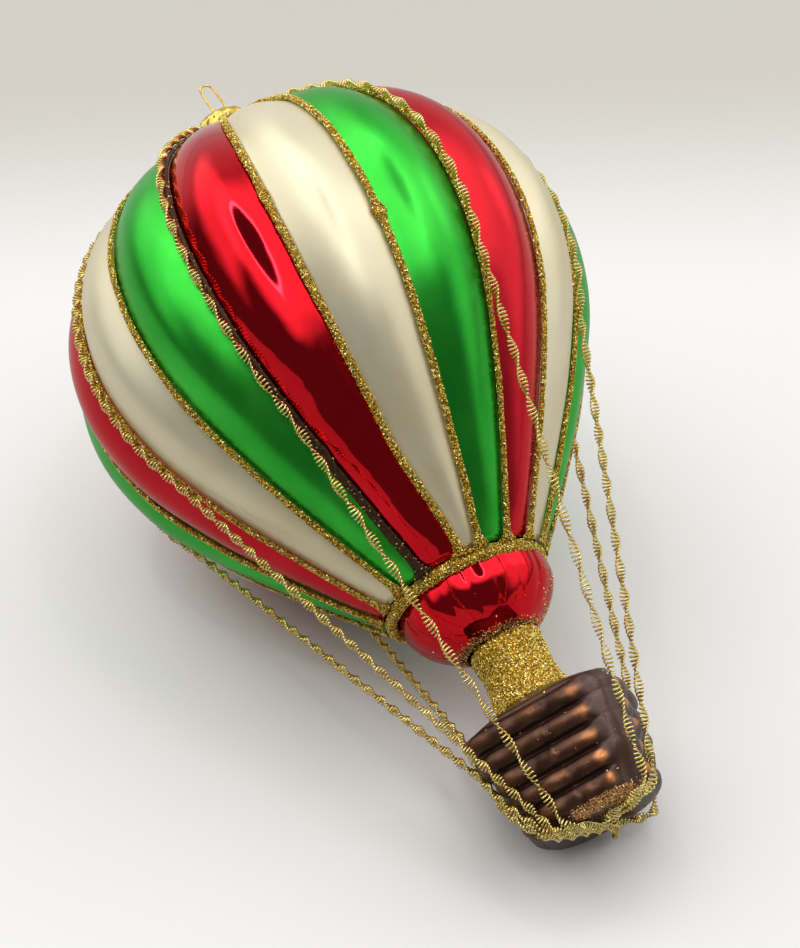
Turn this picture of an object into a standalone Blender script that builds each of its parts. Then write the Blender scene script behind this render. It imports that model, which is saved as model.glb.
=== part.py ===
"""Blown-glass tree ornament in the shape of a hot air balloon, lying on its side as on a table.

The ornament is modelled hanging upright, cap up, its origin in the middle of the envelope.
An empty then lays it down, so that it rests on two gores and on one corner of the basket.
Sizes are in millimetres, angles in degrees; mesh coordinates are multiplied by MM.
Azimuth 0 is the side that faces up when the ornament lies, and 180 the side on the table.
"""

import math

import bmesh
import bpy
from mathutils import Vector

MM = 0.001
GAP = 0.3

GORES = 18
GORE_STEP = 360 / GORES
FIRST_SEAM = -120
BULGE = 0.045
GLASS = 1.0
GORE_ROWS = 14
GORE_COLUMNS = 4

# The groove line between two gores, from the cap down to the collar.
ENVELOPE_LINE = (
    # radius, height
    (4.9, 46.6),
    (11.8, 43.9),
    (21.7, 37.8),
    (33.3, 28.2),
    (40.2, 16.5),
    (42.0, 3.0),
    (38.9, -10.8),
    (32.1, -23.2),
    (23.0, -35.6),
    (13.9, -46.7),
)

SEAM_HALF_WIDTH = 0.75
SEAM_HALF_DEPTH = 0.35
SEAM_LIFT = 0.68
SEAM_START_RADIUS = 6.4
SEAM_SIDES = 6

COLLAR_RADIUS = 13.1
COLLAR_HEIGHT = -48.1
COLLAR_THICKNESS = 0.95

SKIRT_LINE = (
    # radius, height
    (12.7, -49.4),
    (12.5, -51.3),
    (11.4, -53.6),
    (9.9, -55.6),
    (8.1, -57.2),
    (6.9, -57.9),
)
NECK_LINE = (
    # radius, height
    (5.6, -58.2),
    (6.0, -59.6),
    (5.7, -62.5),
    (5.8, -65.5),
    (6.4, -68.6),
)
NECK_WALL = 0.9

# The blown glass is a little bent: each lower part stands this far off the axis.
BEND_AZIMUTH = 69
SKIRT_SHIFT = 0.8
NECK_SHIFT = 1.4
BASKET_TOP_SHIFT = 2.3
BASKET_BOTTOM_SHIFT = 2.2

BASKET_TOP = -68.9
BASKET_SHOULDER = -72.2
BASKET_LOWEST_GROOVE = -89.6
BASKET_BOTTOM = -90.4
BASKET_TOP_HALF = 11.9
BASKET_BOTTOM_HALF = 9.4
BASKET_CORNER = 3.4
BASKET_TURN = -27
BASKET_RIBS = 5
RIB_HEIGHT = 1.1
BAND_HALF = 12
RIB_END = 8
BASKET_WALL = 1.3
BASKET_SIDES = 40
RIB_ROWS = 4

PIKE_RADIUS = 4.3
PIKE_BORE = 3.5
PIKE_BOTTOM = 44.0
PIKE_TOP = 50.6

CAP_RADIUS = 5.1
CAP_WALL = 0.35
CAP_RIM = 47.0
CAP_SHOULDER = 51.1
CAP_TOP = 53.1

HANGER_WIRE = 0.28
HANGER_HALF_WIDTH = 1.15
HANGER_TOP = 60.8
HANGER_FOOT = 36.0
HANGER_SPREAD = 0.8
HANGER_TURN = 89
# The loop stands a little off the axis and leans back over it.
HANGER_FOOT_SHIFT = 1.0
HANGER_TOP_SHIFT = 0.3

STRAND_RADIUS = 0.35
STRAND_LIFT = 1.7
STRAND_TOP_RADIUS = 6.2
STRAND_UNDER = 0.68
STRAND_PITCH = 2.0
STRAND_SHIFT = 0.45
STRAND_TUCK = 0.72
STRAND_STEPS = 18
FREE_STEPS = 18
# Each crinkle wire runs from the cap down one seam, under the basket and up another seam.
STRANDS = (
    # each side: seam, height where the wire leaves it, edge point to the front and to the right
    ((7, -17.0, 10.2, 9.9), (4, -29.0, 10.8, -4.5)),
    ((9, -18.0, 7.5, 11.0), (2, -22.5, 11.0, -6.5)),
    ((11, -26.0, -11.0, 7.6), (0, -20.0, 10.8, -7.5)),
    ((13, -34.0, -11.0, 0.0), (-2, -36.0, 10.4, -8.45)),
)

REST_TILT = 20.45

GORE_PAINTS = ("cream", "green", "red")
PAINTS = {
    # name: colour, metallic, roughness
    "cream": ((0.62, 0.52, 0.30, 1), 0.85, 0.32),
    "green": ((0.03, 0.28, 0.05, 1), 0.85, 0.28),
    "red": ((0.55, 0.01, 0.02, 1), 0.90, 0.15),
    "glitter": ((0.60, 0.42, 0.08, 1), 0.90, 0.45),
    "copper": ((0.10, 0.045, 0.025, 1), 0.60, 0.25),
    "silvered": ((0.75, 0.75, 0.74, 1), 1.00, 0.12),
    "gilt": ((0.80, 0.55, 0.15, 1), 1.00, 0.22),
    "wire": ((0.70, 0.58, 0.28, 1), 1.00, 0.30),
}


def clear_scene():
    for item in list(bpy.data.objects):
        bpy.data.objects.remove(item)


def new_collection(name):
    collection = bpy.data.collections.new(name)
    bpy.context.scene.collection.children.link(collection)
    return collection


def make_paints():
    made = {}
    for name, (colour, metallic, roughness) in PAINTS.items():
        paint = bpy.data.materials.new(name)
        paint.use_nodes = True
        shader = paint.node_tree.nodes["Principled BSDF"]
        shader.inputs["Base Color"].default_value = colour
        shader.inputs["Metallic"].default_value = metallic
        shader.inputs["Roughness"].default_value = roughness
        made[name] = paint
    return made


def around(radius, azimuth, height):
    turn = math.radians(azimuth)
    return Vector((radius * math.cos(turn), radius * math.sin(turn), height)) * MM


def smooth_line(points, steps):
    """A Catmull-Rom curve through the points, with steps + 1 evenly indexed samples."""
    padded = [points[0], *points, points[-1]]
    spans = len(points) - 1
    line = []
    for step in range(steps + 1):
        place = step * spans / steps
        span = min(int(place), spans - 1)
        t = place - span
        a, b, c, d = (Vector(padded[span + offset]) for offset in range(4))
        line.append(
            b + (c - a) * (t / 2)
            + (a * 2 - b * 5 + c * 4 - d) * (t * t / 2)
            + (b * 3 - a - c * 3 + d) * (t ** 3 / 2)
        )
    return line


def raised_line(line, lift):
    """The (radius, height) line moved outwards by lift along its own normals."""
    raised = []
    for index, point in enumerate(line):
        before = line[max(index - 1, 0)]
        after = line[min(index + 1, len(line) - 1)]
        along = (after - before).normalized()
        raised.append(point + Vector((-along.y, along.x)) * lift)
    return raised


def mesh_object(name, vertices, faces, paint):
    mesh = bpy.data.meshes.new(name)
    mesh.from_pydata([tuple(v) for v in vertices], [], faces)
    mesh.materials.append(PAINT[paint])
    item = bpy.data.objects.new(name, mesh)
    PARTS.objects.link(item)
    return item


def face_outwards(item):
    work = bmesh.new()
    work.from_mesh(item.data)
    bmesh.ops.recalc_face_normals(work, faces=work.faces)
    work.to_mesh(item.data)
    work.free()


def loft(name, sections, paint, smooth_angle=50):
    """A closed solid through a row of like sections, each a ring of points, with flat ends."""
    sides = len(sections[0])
    vertices = [point for section in sections for point in section]
    faces = []
    for row in range(len(sections) - 1):
        for side in range(sides):
            after = (side + 1) % sides
            faces.append((
                row * sides + side, row * sides + after,
                (row + 1) * sides + after, (row + 1) * sides + side,
            ))
    faces.append(tuple(range(sides)))
    faces.append(tuple(range(len(vertices) - sides, len(vertices))))
    item = mesh_object(name, vertices, faces, paint)
    face_outwards(item)
    item.data.shade_smooth()
    item.data.set_sharp_from_angle(angle=math.radians(smooth_angle))
    return item


def turned(name, line, paint, steps, wall=0.0, shift=0.0):
    """A profile of (radius, height) points, top to bottom, turned round an upright axis."""
    vertices = [Vector((radius, 0, height)) * MM for radius, height in line]
    mesh = bpy.data.meshes.new(name)
    edges = [(index, index + 1) for index in range(len(vertices) - 1)]
    if not wall:
        edges.append((len(vertices) - 1, 0))
    mesh.from_pydata([tuple(v) for v in vertices], edges, [])
    mesh.materials.append(PAINT[paint])
    item = bpy.data.objects.new(name, mesh)
    PARTS.objects.link(item)
    screw = item.modifiers.new("turn", "SCREW")
    screw.steps = steps
    screw.render_steps = steps
    screw.use_merge_vertices = True
    screw.merge_threshold = 0.00001
    screw.use_smooth_shade = True
    if wall:
        solid = item.modifiers.new("wall", "SOLIDIFY")
        solid.thickness = wall * MM
        solid.offset = -1
    item.location = around(shift, BEND_AZIMUTH, 0)
    return item


def gore(number):
    """One lobe of the envelope, a shell of glass from the cap to the collar."""
    middle = FIRST_SEAM + (number - 0.5) * GORE_STEP
    line = smooth_line(ENVELOPE_LINE, GORE_ROWS)
    vertices = []
    for radius, height in line:
        half = GORE_STEP / 2 - math.degrees(GAP / 2 / radius)
        for column in range(GORE_COLUMNS + 1):
            turn = half * (2 * column / GORE_COLUMNS - 1)
            lobe = 1 + BULGE * math.cos(math.radians(90 * turn / (GORE_STEP / 2)))
            vertices.append(around(radius * lobe, middle + turn, height))
    across = GORE_COLUMNS + 1
    faces = []
    for row in range(GORE_ROWS):
        for column in range(GORE_COLUMNS):
            corner = row * across + column
            faces.append((corner, corner + across, corner + across + 1, corner + 1))
    item = mesh_object(f"gore_{number:02d}", vertices, faces, GORE_PAINTS[number % 3])
    item.data.shade_smooth()
    solid = item.modifiers.new("glass", "SOLIDIFY")
    solid.thickness = GLASS * MM
    solid.offset = -1
    return item


def seam(number):
    """The bead of glitter in the groove between two gores."""
    azimuth = FIRST_SEAM + number * GORE_STEP
    line = raised_line(smooth_line(ENVELOPE_LINE, GORE_ROWS), SEAM_LIFT)
    line = [point for point in line if point.x > SEAM_START_RADIUS][:-1]
    side = Vector((-math.sin(math.radians(azimuth)), math.cos(math.radians(azimuth)), 0)) * MM
    sections = []
    for index, point in enumerate(line):
        before = line[max(index - 1, 0)]
        after = line[min(index + 1, len(line) - 1)]
        along = (after - before).normalized()
        out = around(-along.y, azimuth, along.x)
        half_width = SEAM_HALF_WIDTH * min(1, point.x / 10)
        centre = around(point.x, azimuth, point.y)
        sections.append([
            centre
            + side * (half_width * math.cos(math.tau * corner / SEAM_SIDES))
            + out * (SEAM_HALF_DEPTH * math.sin(math.tau * corner / SEAM_SIDES))
            for corner in range(SEAM_SIDES)
        ])
    return loft(f"seam_{number:02d}", sections, "glitter", 80)


def collar():
    bpy.ops.mesh.primitive_torus_add(
        major_segments=48, minor_segments=6,
        major_radius=COLLAR_RADIUS * MM, minor_radius=COLLAR_THICKNESS * MM,
        location=(0, 0, COLLAR_HEIGHT * MM),
    )
    return adopt("collar", "glitter")


def adopt(name, paint):
    """Names the primitive just added, paints it and moves it to the ornament's collection."""
    item = bpy.context.object
    item.name = name
    for holder in list(item.users_collection):
        holder.objects.unlink(item)
    PARTS.objects.link(item)
    item.data.materials.append(PAINT[paint])
    item.data.shade_smooth()
    return item


def rounded_square(half, corner, azimuth):
    """Distance from the axis to a rounded square, at an azimuth from its front face."""
    turn = math.radians(azimuth)
    x, y = abs(math.cos(turn)), abs(math.sin(turn))
    flat = half / max(x, y)
    if flat * min(x, y) <= half - corner:
        return flat
    middle = (half - corner) * (x + y)
    return middle + math.sqrt(middle ** 2 - 2 * (half - corner) ** 2 + corner ** 2)


def rib_swell(azimuth, rib_phase):
    """How far a rib stands out: none on the smooth bands down two opposite corners."""
    from_band = abs((azimuth - 45 + 90) % 180 - 90)
    inside = min(1, max(0, (from_band - BAND_HALF) / RIB_END))
    fade = math.sqrt(1 - (1 - inside) ** 2)
    return RIB_HEIGHT * fade * abs(math.sin(math.pi * rib_phase)) ** 0.7


def basket_centre(height):
    share = (BASKET_TOP - height) / (BASKET_TOP - BASKET_BOTTOM)
    shift = BASKET_TOP_SHIFT + (BASKET_BOTTOM_SHIFT - BASKET_TOP_SHIFT) * share
    return around(shift, BEND_AZIMUTH, 0)


def basket_section(height, half, swell_phase=None, inset=0.0):
    centre = basket_centre(height)
    ring = []
    for side in range(BASKET_SIDES):
        azimuth = side * 360 / BASKET_SIDES
        reach = rounded_square(half - inset, BASKET_CORNER - inset / 2, azimuth)
        if swell_phase is not None:
            reach += rib_swell(azimuth, swell_phase)
        ring.append(centre + around(reach, azimuth + BASKET_TURN, height))
    return ring


def basket():
    """The blown basket: a rounded box whose faces bulge in log-like ribs, under a low dome."""
    sections = [
        basket_section(BASKET_TOP, BASKET_TOP_HALF - 6.2),
        basket_section(BASKET_TOP - 1.1, BASKET_TOP_HALF - 3.7),
        basket_section(BASKET_TOP - 2.2, BASKET_TOP_HALF - 1.4),
    ]
    rows = BASKET_RIBS * RIB_ROWS
    for row in range(rows + 1):
        share = row / rows
        half = BASKET_TOP_HALF + (BASKET_BOTTOM_HALF - BASKET_TOP_HALF) * share
        height = BASKET_SHOULDER + (BASKET_LOWEST_GROOVE - BASKET_SHOULDER) * share
        sections.append(basket_section(height, half, row / RIB_ROWS))
    sections.append(basket_section(BASKET_BOTTOM, BASKET_BOTTOM_HALF - 1.2))
    item = loft("basket", sections, "copper", 60)
    hollow = basket_hollow()
    cut = item.modifiers.new("hollow", "BOOLEAN")
    cut.operation = "DIFFERENCE"
    cut.solver = "EXACT"
    cut.object = hollow
    return item


def basket_hollow():
    bore = NECK_LINE[-1][0] - NECK_WALL - 0.6
    middle = around(NECK_SHIFT, BEND_AZIMUTH, 0)
    mouth = []
    for side in range(BASKET_SIDES):
        mouth.append(middle + around(bore, side * 360 / BASKET_SIDES + BASKET_TURN, 0))
    sections = []
    for height in (BASKET_TOP + 2, BASKET_TOP - BASKET_WALL):
        sections.append([point + Vector((0, 0, height * MM)) for point in mouth])
    for height, half in (
        (BASKET_SHOULDER - BASKET_WALL, BASKET_TOP_HALF),
        (BASKET_BOTTOM + BASKET_WALL, BASKET_BOTTOM_HALF),
    ):
        sections.append(basket_section(height, half, inset=BASKET_WALL))
    hollow = loft("basket_hollow", sections, "copper")
    PARTS.objects.unlink(hollow)
    CUTTERS.objects.link(hollow)
    hollow.hide_render = True
    hollow.display_type = "WIRE"
    return hollow


def neck_pieces():
    """The red skirt under the collar, and the glittered neck that carries the basket."""
    turned("skirt", smooth_line(SKIRT_LINE, 7), "red", 36, GLASS, SKIRT_SHIFT)
    turned("neck", smooth_line(NECK_LINE, 6), "glitter", 30, NECK_WALL, NECK_SHIFT)


def pike():
    """The glass neck at the top, which the cap sits on."""
    line = (
        (PIKE_RADIUS, PIKE_TOP), (PIKE_RADIUS, PIKE_BOTTOM),
        (PIKE_BORE, PIKE_BOTTOM), (PIKE_BORE, PIKE_TOP),
    )
    return turned("pike", line, "silvered", 28)


def cap():
    """The stamped metal cap: a drawn cup with a domed top and two holes for the hanger."""
    outer = [(0.0, CAP_TOP)]
    for step in range(1, 7):
        turn = math.radians(15 * step)
        outer.append((
            CAP_RADIUS * math.sin(turn),
            CAP_SHOULDER + (CAP_TOP - CAP_SHOULDER) * math.cos(turn),
        ))
    outer.append((CAP_RADIUS, CAP_RIM + 0.8))
    outer.append((CAP_RADIUS + 0.25, CAP_RIM))
    item = turned("cap", outer, "gilt", 28, CAP_WALL)
    for side in (-1, 1):
        bpy.ops.mesh.primitive_cylinder_add(
            vertices=12, radius=(HANGER_WIRE + GAP) * MM, depth=8 * MM,
            location=hanger_point(side * HANGER_HALF_WIDTH, CAP_TOP),
        )
        hole = adopt(f"hanger_hole_{side}", "gilt")
        PARTS.objects.unlink(hole)
        CUTTERS.objects.link(hole)
        hole.hide_render = True
        hole.display_type = "WIRE"
        cut = item.modifiers.new("hole", "BOOLEAN")
        cut.operation = "DIFFERENCE"
        cut.solver = "EXACT"
        cut.object = hole
    return item


def wire_tube(name, points, radius, paint):
    """A round wire through the points, as a closed mesh tube."""
    curve = bpy.data.curves.new(name, "CURVE")
    curve.dimensions = "3D"
    curve.bevel_depth = radius * MM
    curve.bevel_resolution = 2
    curve.use_fill_caps = True
    spline = curve.splines.new("POLY")
    spline.points.add(len(points) - 1)
    for place, point in zip(spline.points, points):
        place.co = (*point, 1)
    curve.materials.append(PAINT[paint])
    item = bpy.data.objects.new(name, curve)
    PARTS.objects.link(item)
    return item


def hanger_point(beside, height):
    """A point in the loop's plane, by its distance from the loop's own middle line."""
    rise = max(0, height - CAP_TOP) / (HANGER_TOP - CAP_TOP)
    shift = HANGER_FOOT_SHIFT + (HANGER_TOP_SHIFT - HANGER_FOOT_SHIFT) * rise
    return around(shift, BEND_AZIMUTH, height) + around(beside, HANGER_TURN, 0)


def hanger():
    """The spring wire: an open loop above the cap and two legs that press inside the pike."""
    arch = HANGER_TOP - HANGER_HALF_WIDTH
    half = [(HANGER_HALF_WIDTH + HANGER_SPREAD, HANGER_FOOT), (HANGER_HALF_WIDTH, CAP_TOP - 4)]
    half += [(HANGER_HALF_WIDTH, CAP_TOP), (HANGER_HALF_WIDTH, (CAP_TOP + arch) / 2)]
    for step in range(6):
        turn = math.radians(18 * step)
        half.append((HANGER_HALF_WIDTH * math.cos(turn), arch + HANGER_HALF_WIDTH * math.sin(turn)))
    line = [hanger_point(-beside, height) for beside, height in half]
    line += [hanger_point(beside, height) for beside, height in half[-2::-1]]
    return wire_tube("hanger", line, HANGER_WIRE, "gilt")


def glass_radius(azimuth, height):
    """Distance from the axis to the lobed glass of the envelope, at a height below the cap."""
    line = smooth_line(ENVELOPE_LINE, 36)
    below = next((index for index, point in enumerate(line) if point.y <= height), None)
    if not below:
        return 0.0
    high, low = line[below - 1], line[below]
    share = (high.y - height) / (high.y - low.y)
    lobe = abs(math.sin(math.radians(180 * (azimuth - FIRST_SEAM) / GORE_STEP)))
    return (high.x + (low.x - high.x) * share) * (1 + BULGE * lobe)


def held_off_glass(point):
    """The point itself, or straight out from the axis to where a wire would lie on the glass."""
    azimuth = math.degrees(math.atan2(point.y, point.x))
    height = point.z / MM
    reach = max(point.xy.length / MM, glass_radius(azimuth, height) + STRAND_RADIUS + GAP)
    return around(reach, azimuth, height)


def basket_point(front, right, height):
    """A point by its distances from the basket's middle towards its front and right faces."""
    beside = around(front, BASKET_TURN, height) + around(right, BASKET_TURN + 90, 0)
    return beside + basket_centre(height)


def held_off_basket(point):
    """The point itself, or straight out to where a wire would lie over the basket's ribs."""
    height = point.z / MM
    if height > BASKET_TOP:
        return point
    out = point - basket_centre(height)
    azimuth = math.degrees(math.atan2(out.y, out.x))
    share = max(0, (BASKET_SHOULDER - height) / (BASKET_SHOULDER - BASKET_LOWEST_GROOVE))
    half = BASKET_TOP_HALF + (BASKET_BOTTOM_HALF - BASKET_TOP_HALF) * min(1, share)
    ribs = rounded_square(half, BASKET_CORNER, azimuth - BASKET_TURN)
    ribs += rib_swell(azimuth - BASKET_TURN, 0.5) + STRAND_RADIUS + GAP
    reach = max(out.xy.length / MM, ribs)
    return basket_centre(height) + around(reach, azimuth, height)


def strand_half(seam_number, leave_height, front, right, slot):
    """One side of a crinkle wire: down its seam, then straight to the basket's bottom edge."""
    azimuth = FIRST_SEAM + seam_number * GORE_STEP
    edge = basket_point(front, right, BASKET_BOTTOM + 0.5)
    under = basket_point(
        slot + (front - slot) * STRAND_TUCK, right * STRAND_TUCK, BASKET_BOTTOM - STRAND_UNDER
    )
    line = raised_line(smooth_line(ENVELOPE_LINE, STRAND_STEPS), STRAND_LIFT)
    points = [
        around(point.x, azimuth, point.y) for point in line
        if point.x > STRAND_TOP_RADIUS and point.y > leave_height
    ]
    leaving = points[-1]
    for step in range(1, FREE_STEPS):
        free = held_off_glass(leaving.lerp(edge, step / FREE_STEPS))
        points.append(held_off_basket(free))
    return points + [edge, under]


def strand(number, right, left):
    """A crinkle wire, taut from the cap over the envelope and under the basket."""
    slot = STRAND_SHIFT + (2.5 - number) * STRAND_PITCH
    points = strand_half(*right, slot)
    points.append(basket_point(slot, 0, BASKET_BOTTOM - STRAND_UNDER))
    points += strand_half(*left, slot)[::-1]
    return wire_tube(f"strand_{number}", points, STRAND_RADIUS, "wire")


def lay_down():
    """Parents everything to an empty that rolls the ornament on its side and sets it on the floor."""
    rest = bpy.data.objects.new("rest", None)
    PARTS.objects.link(rest)
    for item in [*PARTS.objects, *CUTTERS.objects]:
        if item is not rest:
            item.parent = rest
    rest.rotation_euler = (0, -math.radians(90 - REST_TILT), 0)
    bpy.context.view_layer.update()
    ready = bpy.context.evaluated_depsgraph_get()
    corners = []
    for item in PARTS.objects:
        if item is not rest:
            shape = item.evaluated_get(ready).to_mesh()
            corners.extend(item.matrix_world @ vertex.co for vertex in shape.vertices)
    rest.location = (
        -(min(c.x for c in corners) + max(c.x for c in corners)) / 2,
        -(min(c.y for c in corners) + max(c.y for c in corners)) / 2,
        -min(c.z for c in corners),
    )


def main():
    for number in range(1, GORES + 1):
        gore(number)
        seam(number)
    collar()
    neck_pieces()
    basket()
    pike()
    cap()
    hanger()
    for number, (right, left) in enumerate(STRANDS, 1):
        strand(number, right, left)
    lay_down()


clear_scene()
PARTS = new_collection("balloon_ornament")
CUTTERS = new_collection("cutters")
PAINT = make_paints()
main()
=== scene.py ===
"""Finished look of a blown-glass balloon ornament that lies on a pale table.

Shapes are written upright, in millimetres: cap up, the middle of the envelope at the origin,
azimuth 0 on the side that faces up when the ornament lies. TO_TABLE lays them on the table.
"""

import math

import bmesh
import bpy
from mathutils import Matrix, Vector, noise


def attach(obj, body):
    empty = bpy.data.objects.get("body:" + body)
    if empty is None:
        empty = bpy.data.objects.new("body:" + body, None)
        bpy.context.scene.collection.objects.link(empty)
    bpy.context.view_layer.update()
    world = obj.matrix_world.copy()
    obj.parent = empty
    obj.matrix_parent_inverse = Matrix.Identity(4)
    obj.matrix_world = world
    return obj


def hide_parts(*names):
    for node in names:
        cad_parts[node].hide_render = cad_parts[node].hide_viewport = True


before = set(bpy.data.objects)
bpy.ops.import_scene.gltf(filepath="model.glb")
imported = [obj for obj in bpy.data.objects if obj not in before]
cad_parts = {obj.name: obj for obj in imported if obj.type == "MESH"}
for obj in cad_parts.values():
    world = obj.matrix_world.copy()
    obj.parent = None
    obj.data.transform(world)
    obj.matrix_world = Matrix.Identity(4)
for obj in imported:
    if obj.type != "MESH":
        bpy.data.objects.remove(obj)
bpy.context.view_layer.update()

MM = 0.001
REST_TILT = 20.45
REST_PLACE = Vector((-0.016223, 0, 0.041242))
TO_TABLE = (
    Matrix.Translation(REST_PLACE)
    @ Matrix.Rotation(-math.radians(90 - REST_TILT), 4, "Y")
    @ Matrix.Scale(MM, 4)
)

GORES = 18
GORE_STEP = 360 / GORES
FIRST_SEAM = -120
ENVELOPE_RADIUS = 42
BULGE = 0.052
LOBE_ROWS = 72
LOBE_COLUMNS = 16
LOBE_WALL = 0.6
ENVELOPE_LINE = (
    # radius, height
    (4.9, 46.6),
    (11.8, 43.9),
    (21.7, 37.8),
    (33.3, 28.2),
    (40.2, 16.5),
    (42.0, 3.0),
    (38.9, -10.8),
    (32.1, -23.2),
    (23.0, -35.6),
    (13.9, -46.7),
)
SEAM_LEANS = {5: 9}  # seam: degrees it leans aside near the cap
MIRROR_GORE = 5
CREST = 1.28
RIPPLE = 0.13
DENTS = (
    # gore, height, turn from its middle, size, depth
    (5, -16.0, 1.0, 2.2, 0.30),
    (5, -24.0, -1.5, 2.0, -0.16),
    (5, 4.0, -4.0, 2.5, -0.14),
    (8, -8.0, 1.5, 3.0, 0.16),
    (7, 14.0, -3.0, 3.0, 0.12),
)

BEAD_ROWS = 90
BEAD_SIDES = 10
BEAD_HALF_WIDTH = 0.56
WIRED_BEAD_HALF_WIDTH = 0.42
# Seam 4, beside the mirror lobe, has a wider near-black bead with few grains: painted shade for its
# groove, on a bare seam bed.
SHADED_BARE_SEAM = 4
SHADED_BARE_BEAD_HALF_WIDTH = 0.75
BARE_BEAD_COAT = 0.05
BEAD_HALF_DEPTH = 0.34
BEAD_LIFT = 0.62
BEAD_START_RADIUS = 7.4
BEAD_SPREAD = 1.7
BEAD_FLARE_START = -44.4
BEAD_FLARE = 2.4
LUMP_SIZE = 1.1
LUMPS = (
    # seam, height, extra width
    (5, 42.0, 0.3),
    (6, -1.3, 0.6),
    (4, -27.0, 0.35),
    (5, 8.0, 0.25),
    (8, -14.0, 0.3),
)

COLLAR_RADIUS = 13.2
COLLAR_HEIGHT = -47.7
COLLAR_THICKNESS = 0.8
COLLAR_HALF_HEIGHT = 1.05

SKIRT_LINE = (
    # radius, height
    (12.8, -48.3),
    (12.6, -51.3),
    (11.5, -53.6),
    (9.8, -55.5),
    (8.0, -57.0),
    (6.0, -58.3),
)
RECESS_HEIGHT = -57.7
NECK_LINE = (
    # radius, height
    (5.6, -58.2),
    (6.0, -59.6),
    (5.7, -62.5),
    (5.8, -65.5),
    (6.6, -69.2),
)
BEND_AZIMUTH = 69
SKIRT_SHIFT = 0.8
NECK_SHIFT = 1.4
BASKET_TOP_SHIFT = 2.3
BASKET_BOTTOM_SHIFT = 2.2

BASKET_TOP = -68.9
BASKET_SHOULDER = -72.2
BASKET_LOWEST_GROOVE = -89.6
BASKET_BOTTOM = -90.4
BASKET_TOP_HALF = 11.9
BASKET_BOTTOM_HALF = 9.4
BASKET_CORNER = 3.4
BASKET_TURN = -27
BASKET_RIBS = 5
RIB_HEIGHT = 1.1
GROOVE_DEPTH = 0.55
BAND_RISE = 0.75
LOW_ROUNDING = 3.6
HIGH_ROUNDING = 3.0
RIB_LUMP = 0.8
BAND_HALF = 14
RIB_END = 5
BASKET_SIDES = 200
RIB_ROWS = 14

CAP_RADIUS = 5.1
CAP_RIM = 47.0
CAP_SHOULDER = 51.1
CAP_TOP = 53.1
HANGER_WIRE = 0.20
HANGER_HALF_WIDTH = 1.15
HANGER_TOP = 60.8
HANGER_FOOT = 36.0
HANGER_SPREAD = 0.8
HANGER_TURN = 89
HANGER_FOOT_SHIFT = 1.0
HANGER_TOP_SHIFT = 0.3

COIL_HALF_WIDTH = 0.66
COIL_HALF_DEPTH = 0.20
STRAND_RADIUS = 0.35
STRAND_LIFT = 1.45
STRAND_CLEARANCE = 0.3
STRAND_DRAWN_IN = 0.95
STRAND_TOP_RADIUS = 6.2
STRAND_UNDER = 0.68
STRAND_PITCH = 2.0
STRAND_SHIFT = 0.45
STRAND_TUCK = 0.72
STRAND_STEPS = 18
FREE_STEPS = 18
STRANDS = (
    # each side: seam, height where the wire leaves it, edge point to the front and to the right,
    # pitch of the coil, length of half a twist
    ((7, -17.0, 10.2, 9.9, 0.66, 5.4), (4, -29.0, 10.8, -4.5, 0.64, 5.0)),
    ((9, -18.0, 7.5, 11.0, 0.62, 4.8), (2, -22.5, 11.0, -6.5, 0.50, 3.0)),
    ((11, -26.0, -11.0, 7.6, 0.62, 4.8), (0, -20.0, 10.8, -7.5, 0.50, 3.0)),
    ((13, -34.0, -11.0, 0.0, 0.62, 4.8), (-2, -36.0, 10.4, -8.45, 0.50, 3.0)),
)
WIRED_SEAMS = {side[0] % GORES for strand in STRANDS for side in strand}

ROOM_GLOW = 0.10
LAMP_GLOW = 8.0
DISC_GLOW = 0.11
DISC_REACH = (0.38, 0.21)
WINDOWS = (
    # azimuth, lowest and highest elevation, half width, softness of the edges, strength
    (-135, 18, 62, 46, 26, 1.0),
    (140, 52, 90, 200, 30, 1.4),
    (178, -5, 48, 40, 30, 0.5),
    (88, 6, 52, 50, 34, 0.85),
    (95, 24, 46, 12, 16, 0.8),
)

CAMERA_PLACE = (306.641, -116.777, -169.269)
CAMERA_LOOK = (-0.85532, 0.32371, 0.40453)
CAMERA_UP = (0.4991, 0.30531, 0.81097)
CAMERA_LENS = 83.54


def around(radius, azimuth, height):
    turn = math.radians(azimuth)
    return Vector((radius * math.cos(turn), radius * math.sin(turn), height))


def smooth_line(points, steps):
    """A Catmull-Rom curve through the points, with steps + 1 evenly indexed samples."""
    padded = [points[0], *points, points[-1]]
    spans = len(points) - 1
    line = []
    for step in range(steps + 1):
        place = step * spans / steps
        span = min(int(place), spans - 1)
        t = place - span
        a, b, c, d = (Vector(padded[span + offset]) for offset in range(4))
        line.append(
            b + (c - a) * (t / 2)
            + (a * 2 - b * 5 + c * 4 - d) * (t * t / 2)
            + (b * 3 - a - c * 3 + d) * (t ** 3 / 2)
        )
    return line


def line_normals(line):
    """The outward normals of a (radius, height) line that runs downwards."""
    normals = []
    for index in range(len(line)):
        before = line[max(index - 1, 0)]
        after = line[min(index + 1, len(line) - 1)]
        along = (after - before).normalized()
        normals.append(Vector((-along.y, along.x)))
    return normals


def eased(low, high, value):
    """0 at low, 1 at high, and a soft rise between them; low may be the larger of the two."""
    share = min(1, max(0, (value - low) / (high - low)))
    return share * share * (3 - 2 * share)


def wander(point, scale, seed=0):
    """Smooth noise from -1 to 1, in patches about as many millimetres across as scale."""
    return noise.noise(Vector(point) / scale + Vector((seed, 2.7 * seed, 5.1 * seed)))


def add(tree, kind, inputs=None, **settings):
    """Adds a node to a tree, with its settings and with values or other sockets on its inputs."""
    node = tree.nodes.new(kind)
    for name, value in settings.items():
        setattr(node, name, value)
    for name, value in (inputs or {}).items():
        if isinstance(value, bpy.types.NodeSocket):
            tree.links.new(value, node.inputs[name])
        else:
            node.inputs[name].default_value = value
    return node


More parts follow.
